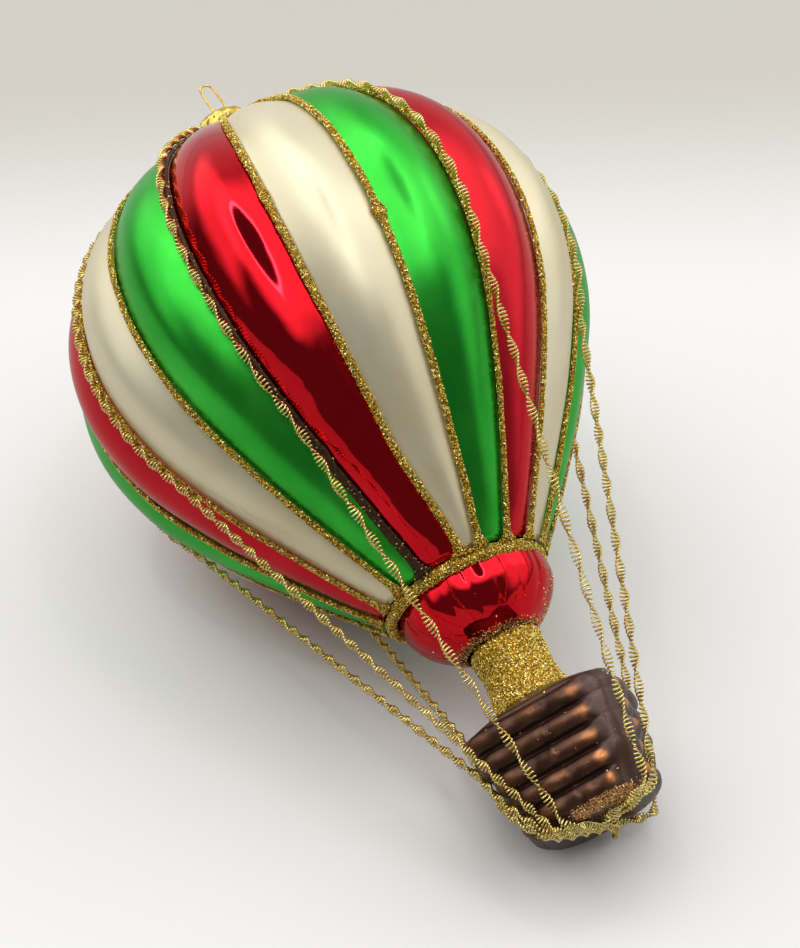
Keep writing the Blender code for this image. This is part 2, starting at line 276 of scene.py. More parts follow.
def finish(name, metallic, roughness, coat=0.0, coat_roughness=0.03):
    """A new material, with its tree and shader."""
    material = bpy.data.materials.new(name)
    material.use_nodes = True
    tree = material.node_tree
    shader = tree.nodes["Principled BSDF"]
    shader.inputs["Metallic"].default_value = metallic
    shader.inputs["Roughness"].default_value = roughness
    shader.inputs["Coat Weight"].default_value = coat
    shader.inputs["Coat Roughness"].default_value = coat_roughness
    return material, tree, shader


def maths(tree, operation, first, second=0.0):
    """The result of one sum on numbers, as a socket."""
    return add(tree, "ShaderNodeMath", {0: first, 1: second}, operation=operation).outputs[0]


def vectors(tree, operation, inputs):
    """The result of one sum on vectors, as a socket."""
    return add(tree, "ShaderNodeVectorMath", inputs, operation=operation).outputs["Vector"]


def object_noise(tree, scale, detail=3.0, stretch=(1, 1, 1)):
    place = add(tree, "ShaderNodeTexCoord")
    mapped = add(tree, "ShaderNodeMapping", {"Vector": place.outputs["Object"], "Scale": stretch})
    spots = add(tree, "ShaderNodeTexNoise", {
        "Vector": mapped.outputs["Vector"], "Scale": scale, "Detail": detail,
    })
    return spots.outputs["Fac"]


def ramp(tree, factor, stops):
    """Colours along a factor, as (place, colour) stops."""
    node = add(tree, "ShaderNodeValToRGB", {"Fac": factor})
    band = node.color_ramp
    while len(band.elements) < len(stops):
        band.elements.new(0.5)
    for element, (place, colour) in zip(band.elements, stops):
        element.position = place
        element.color = (*colour, 1)
    return node.outputs["Color"]


def spread(tree, factor, low, high):
    node = add(tree, "ShaderNodeMapRange", {"Value": factor, "To Min": low, "To Max": high})
    return node.outputs["Result"]


def bumped(tree, shader, height, strength, distance):
    bump = add(tree, "ShaderNodeBump", {
        "Height": height, "Strength": strength, "Distance": distance,
    })
    tree.links.new(bump.outputs["Normal"], shader.inputs["Normal"])


def lacquered_glass(name, deep, bright, metallic, roughness, streak):
    """Lacquer over silvered glass, a little uneven in colour and gloss, with drawn-out ripples."""
    material, tree, shader = finish(name, metallic, roughness)
    patches = object_noise(tree, 45, 4.0, (0.6, 1.6, 1.6))
    colour = ramp(tree, patches, ((0.3, deep), (0.7, bright)))
    tree.links.new(colour, shader.inputs["Base Color"])
    cloud = object_noise(tree, 160, 5.0)
    tree.links.new(
        spread(tree, cloud, roughness * 0.8, roughness * 1.25), shader.inputs["Roughness"]
    )
    bumped(tree, shader, object_noise(tree, 130, 2.0, (0.22, 1, 1)), streak, 0.001)
    return material


def glitter_grains(name, dark, middle, bright, flash):
    """Glitter: every grain has its own shade, kept on the piece as the glint attribute."""
    material, tree, shader = finish(name, 0.7, 0.2)
    glint = add(tree, "ShaderNodeAttribute", attribute_name="glint").outputs["Fac"]
    colour = ramp(tree, glint, ((0.0, dark), (0.3, middle), (0.62, bright), (1.0, flash)))
    tree.links.new(colour, shader.inputs["Base Color"])
    tree.links.new(spread(tree, glint, 0.5, 0.22), shader.inputs["Roughness"])
    tree.links.new(spread(tree, glint, 0.2, 0.9), shader.inputs["Metallic"])
    return material


def glue_bed(name, colour, lighter):
    """The glue under the glitter, which shows brown between the grains."""
    material, tree, shader = finish(name, 0.6, 0.5)
    grit = object_noise(tree, 2600, 3.0)
    tree.links.new(ramp(tree, grit, ((0.35, colour), (0.65, lighter))), shader.inputs["Base Color"])
    bumped(tree, shader, grit, 0.5, 0.0002)
    return material


def bright_metal(name, dark, bright, roughness, patch):
    material, tree, shader = finish(name, 1.0, roughness)
    wear = object_noise(tree, patch, 4.0)
    tree.links.new(ramp(tree, wear, ((0.3, dark), (0.65, bright))), shader.inputs["Base Color"])
    tree.links.new(
        spread(tree, wear, roughness * 1.4, roughness * 0.8), shader.inputs["Roughness"]
    )
    bumped(tree, shader, object_noise(tree, patch * 6, 2.0), 0.05, 0.0001)
    return material


def basket_lacquer():
    """Dark copper-brown lacquer, with painted copper highlights on the rib crests and rib ends and
    painted shade, near black, in the grooves, as an attribute kept on the basket says.
    """
    material, tree, shader = finish("copper_lacquer", 0.7, 0.32, 0.15, 0.12)
    rib_sheen = add(tree, "ShaderNodeAttribute", attribute_name="rib_sheen").outputs["Fac"]
    patches = object_noise(tree, 330, 5.0)
    cloud = spread(tree, patches, 0.2, 1.8)
    # Painted light: near black in the grooves up to bright copper on the crests and rib ends, in
    # random patches.
    ribs = ramp(tree, maths(tree, "MULTIPLY", rib_sheen, cloud), (
        (0.06, (0.022, 0.009, 0.006)),
        (0.20, (0.070, 0.028, 0.015)),
        (0.36, (0.165, 0.068, 0.032)),
        (0.62, (0.72, 0.28, 0.10)),
    ))
    bands = ramp(tree, object_noise(tree, 260, 3.0), (
        (0.3, (0.070, 0.036, 0.030)), (0.7, (0.13, 0.075, 0.065)),
    ))
    colour = add(tree, "ShaderNodeMix", {
        0: add(tree, "ShaderNodeAttribute", attribute_name="plain").outputs["Fac"],
        6: ribs, 7: bands,
    }, data_type="RGBA").outputs[2]
    tree.links.new(colour, shader.inputs["Base Color"])
    tree.links.new(spread(tree, patches, 0.46, 0.30), shader.inputs["Roughness"])
    bumped(tree, shader, object_noise(tree, 700, 3.0), 0.12, 0.0003)
    return material


def table_top():
    """Matt white card with painted shade: darker where it runs back, for the light falling off there,
    and a flat grey in what the glass mirrors of it and in the light it throws back.
    """
    material, tree, shader = finish("table_white", 0.0, 0.42)
    place = add(tree, "ShaderNodeTexCoord").outputs["Object"]
    back = Vector(CAMERA_TO_TABLE @ Vector((0, 0, -1)))
    back.z = 0
    away = add(tree, "ShaderNodeVectorMath", {0: place, 1: back.normalized()}, operation="DOT_PRODUCT")
    # Painted shade: the colour goes from white to a beige grey as the card runs back, standing in for
    # less light on its far part.
    depth = add(tree, "ShaderNodeMapRange", {
        "Value": away.outputs["Value"], "From Min": 0.08, "From Max": 0.175,
    }, interpolation_type="SMOOTHSTEP")
    colour = ramp(tree, depth.outputs["Result"], (
        (0.0, (0.88, 0.88, 0.88)), (1.0, (0.60, 0.58, 0.53)),
    ))
    # Painted shade: all but camera rays see the card as a flat mid grey, so the glass mirrors it
    # darker and it throws back less light.
    seen = add(tree, "ShaderNodeLightPath").outputs["Is Camera Ray"]
    shown = add(tree, "ShaderNodeMix", {
        0: seen, 6: (0.50, 0.49, 0.48, 1), 7: colour,
    }, data_type="RGBA").outputs[2]
    tree.links.new(shown, shader.inputs["Base Color"])
    bumped(tree, shader, object_noise(tree, 900, 3.0), 0.03, 0.0003)
    return material


def new_tree(name, sizes):
    """A Geometry Nodes tree with a geometry input and output and named sizes."""
    tree = bpy.data.node_groups.new(name, "GeometryNodeTree")
    tree.interface.new_socket("Geometry", in_out="INPUT", socket_type="NodeSocketGeometry")
    for label, value in sizes.items():
        socket = tree.interface.new_socket(label, in_out="INPUT", socket_type="NodeSocketFloat")
        socket.default_value = value
    tree.interface.new_socket("Geometry", in_out="OUTPUT", socket_type="NodeSocketGeometry")
    return tree, tree.nodes.new("NodeGroupInput").outputs, tree.nodes.new("NodeGroupOutput").inputs


def glitter_tree(grains):
    """Strews small three-sided grains over a surface, as thickly as its coat attribute says."""
    tree, given, made = new_tree("strew glitter " + grains.name, {
        "Grains per mm2": 19.5, "Grain Radius": 0.000175, "Grain Height": 0.0001, "Tilt": 0.9,
        "Seed": 1.0,
    })
    coat = add(tree, "GeometryNodeInputNamedAttribute", {"Name": "coat"}).outputs["Attribute"]
    per_square_metre = maths(tree, "MULTIPLY", given["Grains per mm2"], 1e6)
    density = maths(tree, "MULTIPLY", per_square_metre, coat)
    strewn = add(tree, "GeometryNodeDistributePointsOnFaces", {
        "Mesh": given["Geometry"], "Density": density, "Seed": given["Seed"],
    })
    shade = add(tree, "FunctionNodeRandomValue", {"Seed": given["Seed"]}, data_type="FLOAT")
    shaded = add(tree, "GeometryNodeStoreNamedAttribute", {
        "Geometry": strewn.outputs["Points"], "Name": "glint",
        "Value": next(socket for socket in shade.outputs if socket.enabled),
    }, data_type="FLOAT", domain="POINT")
    grain = add(tree, "GeometryNodeMeshCone", {
        "Vertices": 3, "Radius Top": 0.0, "Radius Bottom": given["Grain Radius"],
        "Depth": given["Grain Height"],
    }, fill_type="NGON")
    lean = add(tree, "ShaderNodeCombineXYZ", {
        "X": given["Tilt"], "Y": given["Tilt"], "Z": math.pi,
    }).outputs["Vector"]
    other_way = vectors(tree, "MULTIPLY", {0: lean, 1: (-1, -1, -1)})
    turn = tree.nodes.new("FunctionNodeRandomValue")
    turn.data_type = "FLOAT_VECTOR"
    tree.links.new(other_way, turn.inputs[0])
    tree.links.new(lean, turn.inputs[1])
    tree.links.new(given["Seed"], turn.inputs["Seed"])
    turned = add(tree, "FunctionNodeRotateRotation", {
        "Rotation": strewn.outputs["Rotation"],
        "Rotate By": add(tree, "FunctionNodeEulerToRotation", {"Euler": turn.outputs[0]}).outputs[0],
    }, rotation_space="LOCAL")
    size = add(tree, "FunctionNodeRandomValue", {"Seed": given["Seed"]}, data_type="FLOAT")
    size.inputs[2].default_value = 0.6
    size.inputs[3].default_value = 1.35
    placed = add(tree, "GeometryNodeInstanceOnPoints", {
        "Points": shaded.outputs["Geometry"], "Instance": grain.outputs["Mesh"],
        "Rotation": turned.outputs["Rotation"],
        "Scale": next(socket for socket in size.outputs if socket.enabled),
    })
    real = add(tree, "GeometryNodeRealizeInstances", {"Geometry": placed.outputs["Instances"]})
    flat = add(tree, "GeometryNodeSetShadeSmooth", {
        "Geometry": real.outputs["Geometry"], "Shade Smooth": False,
    })
    painted = add(tree, "GeometryNodeSetMaterial", {
        "Geometry": flat.outputs["Geometry"], "Material": grains,
    })
    joined = add(tree, "GeometryNodeJoinGeometry")
    tree.links.new(painted.outputs["Geometry"], joined.inputs["Geometry"])
    tree.links.new(given["Geometry"], joined.inputs["Geometry"])
    tree.links.new(joined.outputs["Geometry"], made["Geometry"])
    return tree


def coil_tree(metal):
    """Winds a thin wire in a flat coil along a line; turns and twist are kept on the line."""
    tree, given, made = new_tree("wind crinkle wire", {
        "Half Width": 0.0007, "Half Depth": 0.0002, "Wire": 0.00016,
    })
    curve = add(tree, "GeometryNodeMeshToCurve", {"Mesh": given["Geometry"]}).outputs["Curve"]
    fine = add(tree, "GeometryNodeResampleCurve", {"Curve": curve}, mode="EVALUATED").outputs[0]
    tangent = add(tree, "GeometryNodeInputTangent").outputs["Tangent"]
    normal = add(tree, "GeometryNodeInputNormal").outputs["Normal"]

    def kept(label):
        return add(tree, "GeometryNodeInputNamedAttribute", {"Name": label}).outputs["Attribute"]

    side = add(tree, "ShaderNodeVectorRotate", {
        "Vector": normal, "Axis": tangent, "Angle": kept("twist"),
    }, rotation_type="AXIS_ANGLE").outputs["Vector"]
    depth = vectors(tree, "CROSS_PRODUCT", {0: tangent, 1: side})
    swing = maths(tree, "COSINE", kept("turns"))
    lift = maths(tree, "SINE", kept("turns"))
    offset = vectors(tree, "SCALE", {
        0: side, "Scale": maths(tree, "MULTIPLY", swing, given["Half Width"]),
    })
    for way, size in ((depth, given["Half Depth"]), (tangent, kept("lean"))):
        shift = vectors(tree, "SCALE", {0: way, "Scale": maths(tree, "MULTIPLY", lift, size)})
        offset = vectors(tree, "ADD", {0: offset, 1: shift})
    wound = add(tree, "GeometryNodeSetPosition", {"Geometry": fine, "Offset": offset}).outputs[0]
    ring = add(tree, "GeometryNodeCurvePrimitiveCircle", {"Resolution": 4, "Radius": given["Wire"]})
    tube = add(tree, "GeometryNodeCurveToMesh", {
        "Curve": wound, "Profile Curve": ring.outputs["Curve"], "Fill Caps": True,
    }).outputs["Mesh"]
    real = add(tree, "GeometryNodeRealizeInstances", {"Geometry": tube}).outputs["Geometry"]
    painted = add(tree, "GeometryNodeSetMaterial", {"Geometry": real, "Material": metal})
    tree.links.new(painted.outputs["Geometry"], made["Geometry"])
    return tree


def grown(item, tree, **sizes):
    """Runs a Geometry Nodes tree on an object and keeps the result as its plain mesh."""
    modifier = item.modifiers.new("grow", "NODES")
    modifier.node_group = tree
    for socket in tree.interface.items_tree:
        label = socket.name.lower().replace(" ", "_")
        if socket.in_out == "INPUT" and label in sizes:
            modifier[socket.identifier] = float(sizes[label])
    return settled(item)


def settled(item):
    """Replaces an object's mesh with what its modifiers make of it."""
    bpy.context.view_layer.update()
    ready = bpy.context.evaluated_depsgraph_get()
    mesh = bpy.data.meshes.new_from_object(item.evaluated_get(ready), depsgraph=ready)
    item.modifiers.clear()
    item.data = mesh
    return item


def mesh_piece(name, points, faces, *materials, edges=()):
    mesh = bpy.data.meshes.new(name)
    mesh.from_pydata([tuple(TO_TABLE @ Vector(point)) for point in points], edges, faces)
    for material in materials:
        mesh.materials.append(material)
    if faces:
        work = bmesh.new()
        work.from_mesh(mesh)
        bmesh.ops.recalc_face_normals(work, faces=work.faces)
        work.to_mesh(mesh)
        work.free()
        mesh.shade_smooth()
    item = bpy.data.objects.new(name, mesh)
    bpy.context.scene.collection.objects.link(item)
    return item


def keep(item, label, values):
    """Stores one number a vertex on a mesh."""
    item.data.attributes.new(label, "FLOAT", "POINT").data.foreach_set("value", values)


def skin(rows, columns, ring=False, ends=False):
    """Faces between rows of points that close round; a ring joins the last row to the first."""
    faces = []
    for row in range(rows if ring else rows - 1):
        after_row = (row + 1) % rows
        for column in range(columns):
            after = (column + 1) % columns
            faces.append((
                row * columns + column, row * columns + after,
                after_row * columns + after, after_row * columns + column,
            ))
    if ends:
        faces.append(tuple(range(columns)))
        faces.append(tuple(range((rows - 1) * columns, rows * columns)))
    return faces


def seam_azimuth(number, radius):
    """Where a seam runs; one of them leans aside near the cap."""
    lean = SEAM_LEANS.get(number % GORES, 0) * eased(27, 9, radius)
    return FIRST_SEAM + number * GORE_STEP + lean


def gore(number, lacquer):
    """One lobe of the blown envelope, with the slight ripple that blown glass has."""
    points = []
    for radius, height in smooth_line(ENVELOPE_LINE, LOBE_ROWS):
        left, right = seam_azimuth(number - 1, radius), seam_azimuth(number, radius)
        middle, half = (left + right) / 2, (right - left) / 2
        for column in range(LOBE_COLUMNS + 1):
            across = 2 * column / LOBE_COLUMNS - 1
            turn = half * across
            crest = max(0, math.cos(math.pi / 2 * across)) ** CREST
            fade = eased(-47, -42, height) * eased(49, 35, height)
            lobe = 1 + BULGE * crest * (0.3 + 0.7 * fade)
            point = around(radius * lobe, middle + turn, height)
            ripple = RIPPLE * wander((point.x, point.y, point.z / 2.5), 9)
            for gore_number, place, dent_turn, size, depth in DENTS:
                if gore_number == number:
                    beside = math.radians(turn - dent_turn) * radius
                    off = Vector((beside, (height - place) / 2))
                    ripple += depth * math.exp(-(off.length / size) ** 2)
            points.append(point * (1 + ripple / ENVELOPE_RADIUS))
    width = LOBE_COLUMNS + 1
    faces = []
    for row in range(LOBE_ROWS):
        for column in range(LOBE_COLUMNS):
            corner = row * width + column
            faces.append((corner, corner + width, corner + width + 1, corner + 1))
    mesh = bpy.data.meshes.new(f"lobe_{number:02d}")
    mesh.from_pydata([tuple(TO_TABLE @ point) for point in points], [], faces)
    mesh.materials.append(lacquer)
    mesh.shade_smooth()
    item = bpy.data.objects.new(mesh.name, mesh)
    bpy.context.scene.collection.objects.link(item)
    wall = item.modifiers.new("wall", "SOLIDIFY")
    wall.thickness = LOBE_WALL * MM
    wall.offset = -1
    settled(item)
    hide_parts(f"gore_{number:02d}")
    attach(item, "ornament")
    return item


def bead_spread(number, height):
    """How much wider than usual a bead of glitter is at a height."""
    below = min(1, max(0, (BEAD_FLARE_START - height) / BEAD_FLARE))
    extra = BEAD_SPREAD * (1 - math.sqrt(1 - below ** 2))
    for seam_number, place, width in LUMPS:
        if seam_number == number:
            extra += width * math.exp(-((height - place) / LUMP_SIZE) ** 2)
    return extra


def seam(number, glue, glitter):
    """The bead of glue and glitter in the groove between two lobes."""
    line = smooth_line(ENVELOPE_LINE, BEAD_ROWS)
    normals = line_normals(line)
    points = []
    rows = 0
    for point, normal in zip(line, normals):
        if point.x < BEAD_START_RADIUS:
            continue
        rows += 1
        azimuth = seam_azimuth(number, point.x)
        side = around(1, azimuth + 90, 0)
        out = around(normal.x, azimuth, normal.y)
        rough = wander((point.y, 10 * number, 0), 2.2)
        usual = WIRED_BEAD_HALF_WIDTH if number in WIRED_SEAMS else BEAD_HALF_WIDTH
        # Painted shade: this seam's bead is wider and set off towards the mirror lobe, so its dark
        # glue shows as a broad band.
        if number == SHADED_BARE_SEAM:
            usual = SHADED_BARE_BEAD_HALF_WIDTH
        half_width = usual * min(1, point.x / 10) + 0.12 * rough
        half_width += bead_spread(number, point.y)
        half_depth = BEAD_HALF_DEPTH * (1 + 0.2 * wander((point.y, 10 * number, 9), 1.6))
        centre = around(point.x, azimuth, point.y) + out * BEAD_LIFT
        aside = SHADED_BARE_BEAD_HALF_WIDTH - BEAD_HALF_WIDTH if number == SHADED_BARE_SEAM else 0
        centre += side * (aside + 0.12 * wander((point.y, 10 * number, 5), 6))
        for corner in range(BEAD_SIDES):
            turn = math.tau * corner / BEAD_SIDES
            points.append(
                centre
                + side * (half_width * math.cos(turn)) + out * (half_depth * math.sin(turn))
            )
    item = mesh_piece(f"glitter_bead_{number:02d}", points, skin(rows, BEAD_SIDES, ends=True), glue)
    keep(item, "coat", [BARE_BEAD_COAT if number == SHADED_BARE_SEAM else 1.0] * len(points))
    grown(item, glitter, seed=number)
    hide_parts(f"seam_{number:02d}")
    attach(item, "ornament")


def collar(glue, glitter):
    """The ring of glitter where the lobes end."""
    rows, sides = 160, 12
    points = []
    for row in range(rows):
        azimuth = 360 * row / rows
        ring_out = around(1, azimuth, 0)
        at_seam = abs(math.cos(math.pi * (azimuth - FIRST_SEAM) / GORE_STEP)) ** 6
        thick = COLLAR_THICKNESS * (1 + 0.16 * wander(ring_out * 13, 2.4) + 0.15 * at_seam)
        for corner in range(sides):
            turn = math.tau * corner / sides
            reach = COLLAR_RADIUS + thick * math.cos(turn)
            rise = COLLAR_HALF_HEIGHT * (thick / COLLAR_THICKNESS) * math.sin(turn)
            points.append(ring_out * reach + Vector((0, 0, COLLAR_HEIGHT + rise)))
    item = mesh_piece("glitter_ring", points, skin(rows, sides, ring=True), glue)
    keep(item, "coat", [1.0] * len(points))
    grown(item, glitter, seed=40)
    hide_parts("collar")
    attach(item, "ornament")


def lathe(name, line, wall, columns, shift, swell, *materials):
    """A turned shell: the line outside, top to bottom, and the same line inside by the wall."""
    outside = [Vector(point) for point in line]
    inside = [point - normal * wall for point, normal in zip(outside, line_normals(outside))]
    profile = outside + inside[::-1]
    points = []
    for radius, height in profile:
        for column in range(columns):
            azimuth = 360 * column / columns
            reach = radius + swell(azimuth, height)
            points.append(around(shift, BEND_AZIMUTH, height) + around(reach, azimuth, 0))
    return mesh_piece(name, points, skin(len(profile), columns, ring=True), *materials), points


def skirt(red, brown, glitter):
    """The glossy red skirt; its lower edge turns under into a brown recess with stray glitter."""
    line = smooth_line(SKIRT_LINE, 30)

    def flutes(azimuth, height):
        crest = abs(math.sin(math.pi * (azimuth - FIRST_SEAM) / GORE_STEP)) ** 0.8
        uneven = 0.7 + 0.5 * wander(around(12, azimuth, height / 3), 5)
        return 0.22 * (crest - 0.6) * uneven * eased(-57, -54, height)

    item, points = lathe("red_skirt", line, 0.6, 216, SKIRT_SHIFT, flutes, red, brown)
    coat = []
    for point in points:
        azimuth = math.degrees(math.atan2(point.y, point.x))
        spill = math.exp(-((azimuth - 78) / 22) ** 2) * eased(-50.0, -53.0, point.z)
        coat.append(0.003 + 0.3 * spill + eased(-57.1, RECESS_HEIGHT, point.z))
    keep(item, "coat", coat)
    for face in item.data.polygons:
        if points[face.vertices[0]].z < RECESS_HEIGHT:
            face.material_index = 1
    grown(item, glitter, seed=41, grains_per_mm2=16)
    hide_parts("skirt")
    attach(item, "ornament")


def neck(glue, glitter):
    """The short neck, thick with glitter."""

    def lumpy(azimuth, height):
        return 0.12 * wander(around(6, azimuth, height), 1.6)

    item, points = lathe(
        "glitter_neck", smooth_line(NECK_LINE, 24), 0.6, 72, NECK_SHIFT, lumpy, glue
    )
    keep(item, "coat", [1.0] * len(points))
    grown(item, glitter, seed=42, grain_radius=0.00021)
    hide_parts("neck")
    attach(item, "ornament")


def rounded_square(half, corner, azimuth):
    """Distance from the axis to a rounded square, at an azimuth from its front face."""
    turn = math.radians(azimuth)
    x, y = abs(math.cos(turn)), abs(math.sin(turn))
    flat = half / max(x, y)
    if flat * min(x, y) <= half - corner:
        return flat
    middle = (half - corner) * (x + y)
    return middle + math.sqrt(middle ** 2 - 2 * (half - corner) ** 2 + corner ** 2)


def from_band(azimuth):
    """Degrees round the basket from the middle of the nearer smooth band."""
    return abs((azimuth - 45 + 90) % 180 - 90)


def rib_share(azimuth):
    """1 on a ribbed face, 0 on the smooth bands down two opposite corners."""
    return eased(BAND_HALF - 3, BAND_HALF + RIB_END, from_band(azimuth))


def basket_centre(height):
    share = (BASKET_TOP - height) / (BASKET_TOP - BASKET_BOTTOM)
    shift = BASKET_TOP_SHIFT + (BASKET_BOTTOM_SHIFT - BASKET_TOP_SHIFT) * share
    return around(shift, BEND_AZIMUTH, 0)


def basket_row(height, half, phase):
    """One level of the basket: its points, their painted highlight and groove shade, and how far off
    the ribs.
    """
    centre = basket_centre(height)
    points, rib_sheen, plain = [], [], []
    for side in range(BASKET_SIDES):
        azimuth = side * 360 / BASKET_SIDES
        low = eased(-83, BASKET_BOTTOM, height)
        high = eased(BASKET_SHOULDER - 1, BASKET_SHOULDER + 1.5, height)
        rounding = BASKET_CORNER + LOW_ROUNDING * low + HIGH_ROUNDING * high
        reach = rounded_square(half, min(rounding, half - 0.5), azimuth)
        share = rib_share(azimuth)
        crest = abs(math.sin(math.pi * phase)) ** 0.42
        uneven = wander((azimuth / 14, 3.7 * math.floor(phase), 0), 1, 3)
        if phase > 0:
            lump = RIB_LUMP * uneven
            lump += 0.15 * wander(around(12, azimuth, height), 2.5, 7)
            rib = (RIB_HEIGHT + GROOVE_DEPTH + lump) * crest - GROOVE_DEPTH
            band = BAND_RISE * (1 - low) * eased(0, 0.6, phase) + 0.10 * crest
            band += 0.3 * wander((azimuth / 3, height / 2, 0), 2.4)
            reach += share * rib + (1 - share) * band
        point = centre + around(reach, azimuth + BASKET_TURN, height)
        points.append(point)
        past_band = from_band(azimuth) - BAND_HALF - RIB_END
        end = math.exp(-((past_band / 5) ** 2))
        patch = 0.5 + 0.5 * uneven
        # Painted light: bright on the rib crests, brighter near the rib ends, dark in the grooves,
        # varied in patches; a flat 0.2 on the dome and bottom.
        rib_sheen.append(0.12 + crest ** 5 * (0.34 * patch + 0.42 * end) if phase > 0 else 0.2)
        plain.append(1 - share if phase > 0 else 0.7)
    return points, rib_sheen, plain


def basket(lacquer, glitter):
    """The blown basket: log-like ribs under a low dome, with glitter along a bottom edge."""
    levels = []
    dome = smooth_line((
        (BASKET_TOP, BASKET_TOP_HALF - 6.2),
        (BASKET_TOP - 1.1, BASKET_TOP_HALF - 3.7),
        (BASKET_TOP - 2.2, BASKET_TOP_HALF - 1.4),
        (BASKET_SHOULDER, BASKET_TOP_HALF),
    ), 9)
    levels += [(height, half, 0) for height, half in dome[:-1]]
    rows = BASKET_RIBS * RIB_ROWS
    for row in range(rows + 1):
        share = row / rows
        levels.append((
            BASKET_SHOULDER + (BASKET_LOWEST_GROOVE - BASKET_SHOULDER) * share,
            BASKET_TOP_HALF + (BASKET_BOTTOM_HALF - BASKET_TOP_HALF) * share,
            row / RIB_ROWS + 1e-6,
        ))
    for drop, inset in ((0.2, 0.35), (0.45, 0.9), (0.65, 1.7), (0.8, 2.9), (0.8, 5.0)):
        levels.append((BASKET_LOWEST_GROOVE - drop, BASKET_BOTTOM_HALF - inset, 0))
    points, rib_sheen, plain = [], [], []
    for height, half, phase in levels:
        row_points, row_rib_sheen, row_plain = basket_row(height, half, phase)
        points += row_points
        rib_sheen += row_rib_sheen
        plain += row_plain
    item = mesh_piece(
        "ribbed_basket", points, skin(len(levels), BASKET_SIDES, ends=True), lacquer
    )
    # Keeps the painted rib highlight and groove shade on the basket.
    keep(item, "rib_sheen", rib_sheen)
    keep(item, "plain", plain)
    coat = []
    for index, point in enumerate(points):
        azimuth = (index % BASKET_SIDES) * 360 / BASKET_SIDES
        from_front = (azimuth + 180) % 360 - 180
        front = eased(-22, -10, from_front) * eased(50, 40, from_front)
        corners = eased(-62, -52, from_front) * eased(-38, -44, from_front)
        corners += eased(50, 56, from_front) * eased(84, 72, from_front)
        rough = 0.3 * wander(point, 1.2)
        rim = eased(6.4, 7.6, (point - basket_centre(point.z)).xy.length)
        thick = front * eased(-89.1, -89.4, point.z + rough)
        thin = corners * eased(-89.0, -89.5, point.z + 2 * rough)
        coat.append(rim * (thick + 0.7 * thin) + 0.002)
    keep(item, "coat", coat)
    grown(item, glitter, seed=43, grains_per_mm2=30, grain_radius=0.0002)
    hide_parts("basket")
    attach(item, "ornament")


def cap(gilt):
    """The stamped cap: scroll embossing round its side, under a plain dome."""
    columns = 150
    profile = [(CAP_RADIUS + 0.25, CAP_RIM), (CAP_RADIUS, CAP_RIM + 0.8)]
    profile += [(CAP_RADIUS, CAP_RIM + 0.8 + 0.3 * step) for step in range(1, 12)]
    for step in range(18):
        turn = math.radians(5 * step)
        profile.append((
            CAP_RADIUS * math.cos(turn),
            CAP_SHOULDER + (CAP_TOP - CAP_SHOULDER) * math.sin(turn),
        ))
    points = []
    for radius, height in profile:
        for column in range(columns):
            azimuth = 360 * column / columns
            wave = math.sin(math.radians(16 * azimuth) + 1.1 * math.sin(height * 2.2))
            curl = math.sin(math.radians(8 * azimuth) - 2.6 * height)
            raised = 0.5 + 0.5 * math.tanh(3 * (wave * 0.7 + curl * 0.6))
            side = eased(CAP_RIM + 0.4, CAP_RIM + 1.2, height) * eased(1.6, 2.6, radius)
            points.append(around(radius - 0.18 * (1 - raised) * side, azimuth, height))
    item = mesh_piece("stamped_cap", points, skin(len(profile), columns, ends=True), gilt)
    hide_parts("cap")
    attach(item, "cap")


def hanger_point(beside, height):
    rise = max(0, height - CAP_TOP) / (HANGER_TOP - CAP_TOP)
    shift = HANGER_FOOT_SHIFT + (HANGER_TOP_SHIFT - HANGER_FOOT_SHIFT) * rise
    return around(shift, BEND_AZIMUTH, height) + around(beside, HANGER_TURN, 0)


def wire_rings(line, radius, sides):
    """Points of a round wire along a line, one ring for each of its points."""
    points = []
    for index, middle in enumerate(line):
        along = (line[min(index + 1, len(line) - 1)] - line[max(index - 1, 0)]).normalized()
        across = around(1, HANGER_TURN + 90, 0)
        up = along.cross(across).normalized()
        for corner in range(sides):
            turn = math.tau * corner / sides
            points.append(
                middle + across * (radius * math.cos(turn)) + up * (radius * math.sin(turn))
            )
    return points


def hanger(gilt):
    """The spring wire loop above the cap, with its legs inside the neck."""
    arch = HANGER_TOP - HANGER_HALF_WIDTH
    half = [
        (HANGER_HALF_WIDTH + HANGER_SPREAD, HANGER_FOOT),
        (HANGER_HALF_WIDTH, CAP_TOP - 4),
        (HANGER_HALF_WIDTH, CAP_TOP),
        (HANGER_HALF_WIDTH + 0.1, (CAP_TOP + arch) / 2),
    ]
    for step in range(10):
        turn = math.radians(10 * step)
        half.append((HANGER_HALF_WIDTH * math.cos(turn), arch + HANGER_HALF_WIDTH * math.sin(turn)))
    corners = [hanger_point(-beside, height) for beside, height in half]
    corners += [hanger_point(beside, height) for beside, height in half[-2::-1]]
    line = smooth_line([tuple(corner) for corner in corners], 120)
    item = mesh_piece(
        "loop_wire", wire_rings(line, HANGER_WIRE, 12), skin(len(line), 12, ends=True), gilt
    )
    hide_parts("hanger")
    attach(item, "cap")


def glass_radius(azimuth, height):
    """Distance from the axis to the lobed glass of the envelope, at a height below the cap."""
    line = smooth_line(ENVELOPE_LINE, 36)
    below = next((index for index, point in enumerate(line) if point.y <= height), None)
    if not below:
        return 0.0
    high, low = line[below - 1], line[below]
    share = (high.y - height) / (high.y - low.y)
    lobe = abs(math.sin(math.radians(180 * (azimuth - FIRST_SEAM) / GORE_STEP)))
    return (high.x + (low.x - high.x) * share) * (1 + BULGE * lobe)


def held_off_glass(point):
    """The point itself, or straight out from the axis to where a wire would lie on the glass."""
    azimuth = math.degrees(math.atan2(point.y, point.x))
    on_glass = glass_radius(azimuth, point.z) + STRAND_RADIUS + STRAND_CLEARANCE
    reach = max(point.xy.length, on_glass)
    return around(reach, azimuth, point.z)


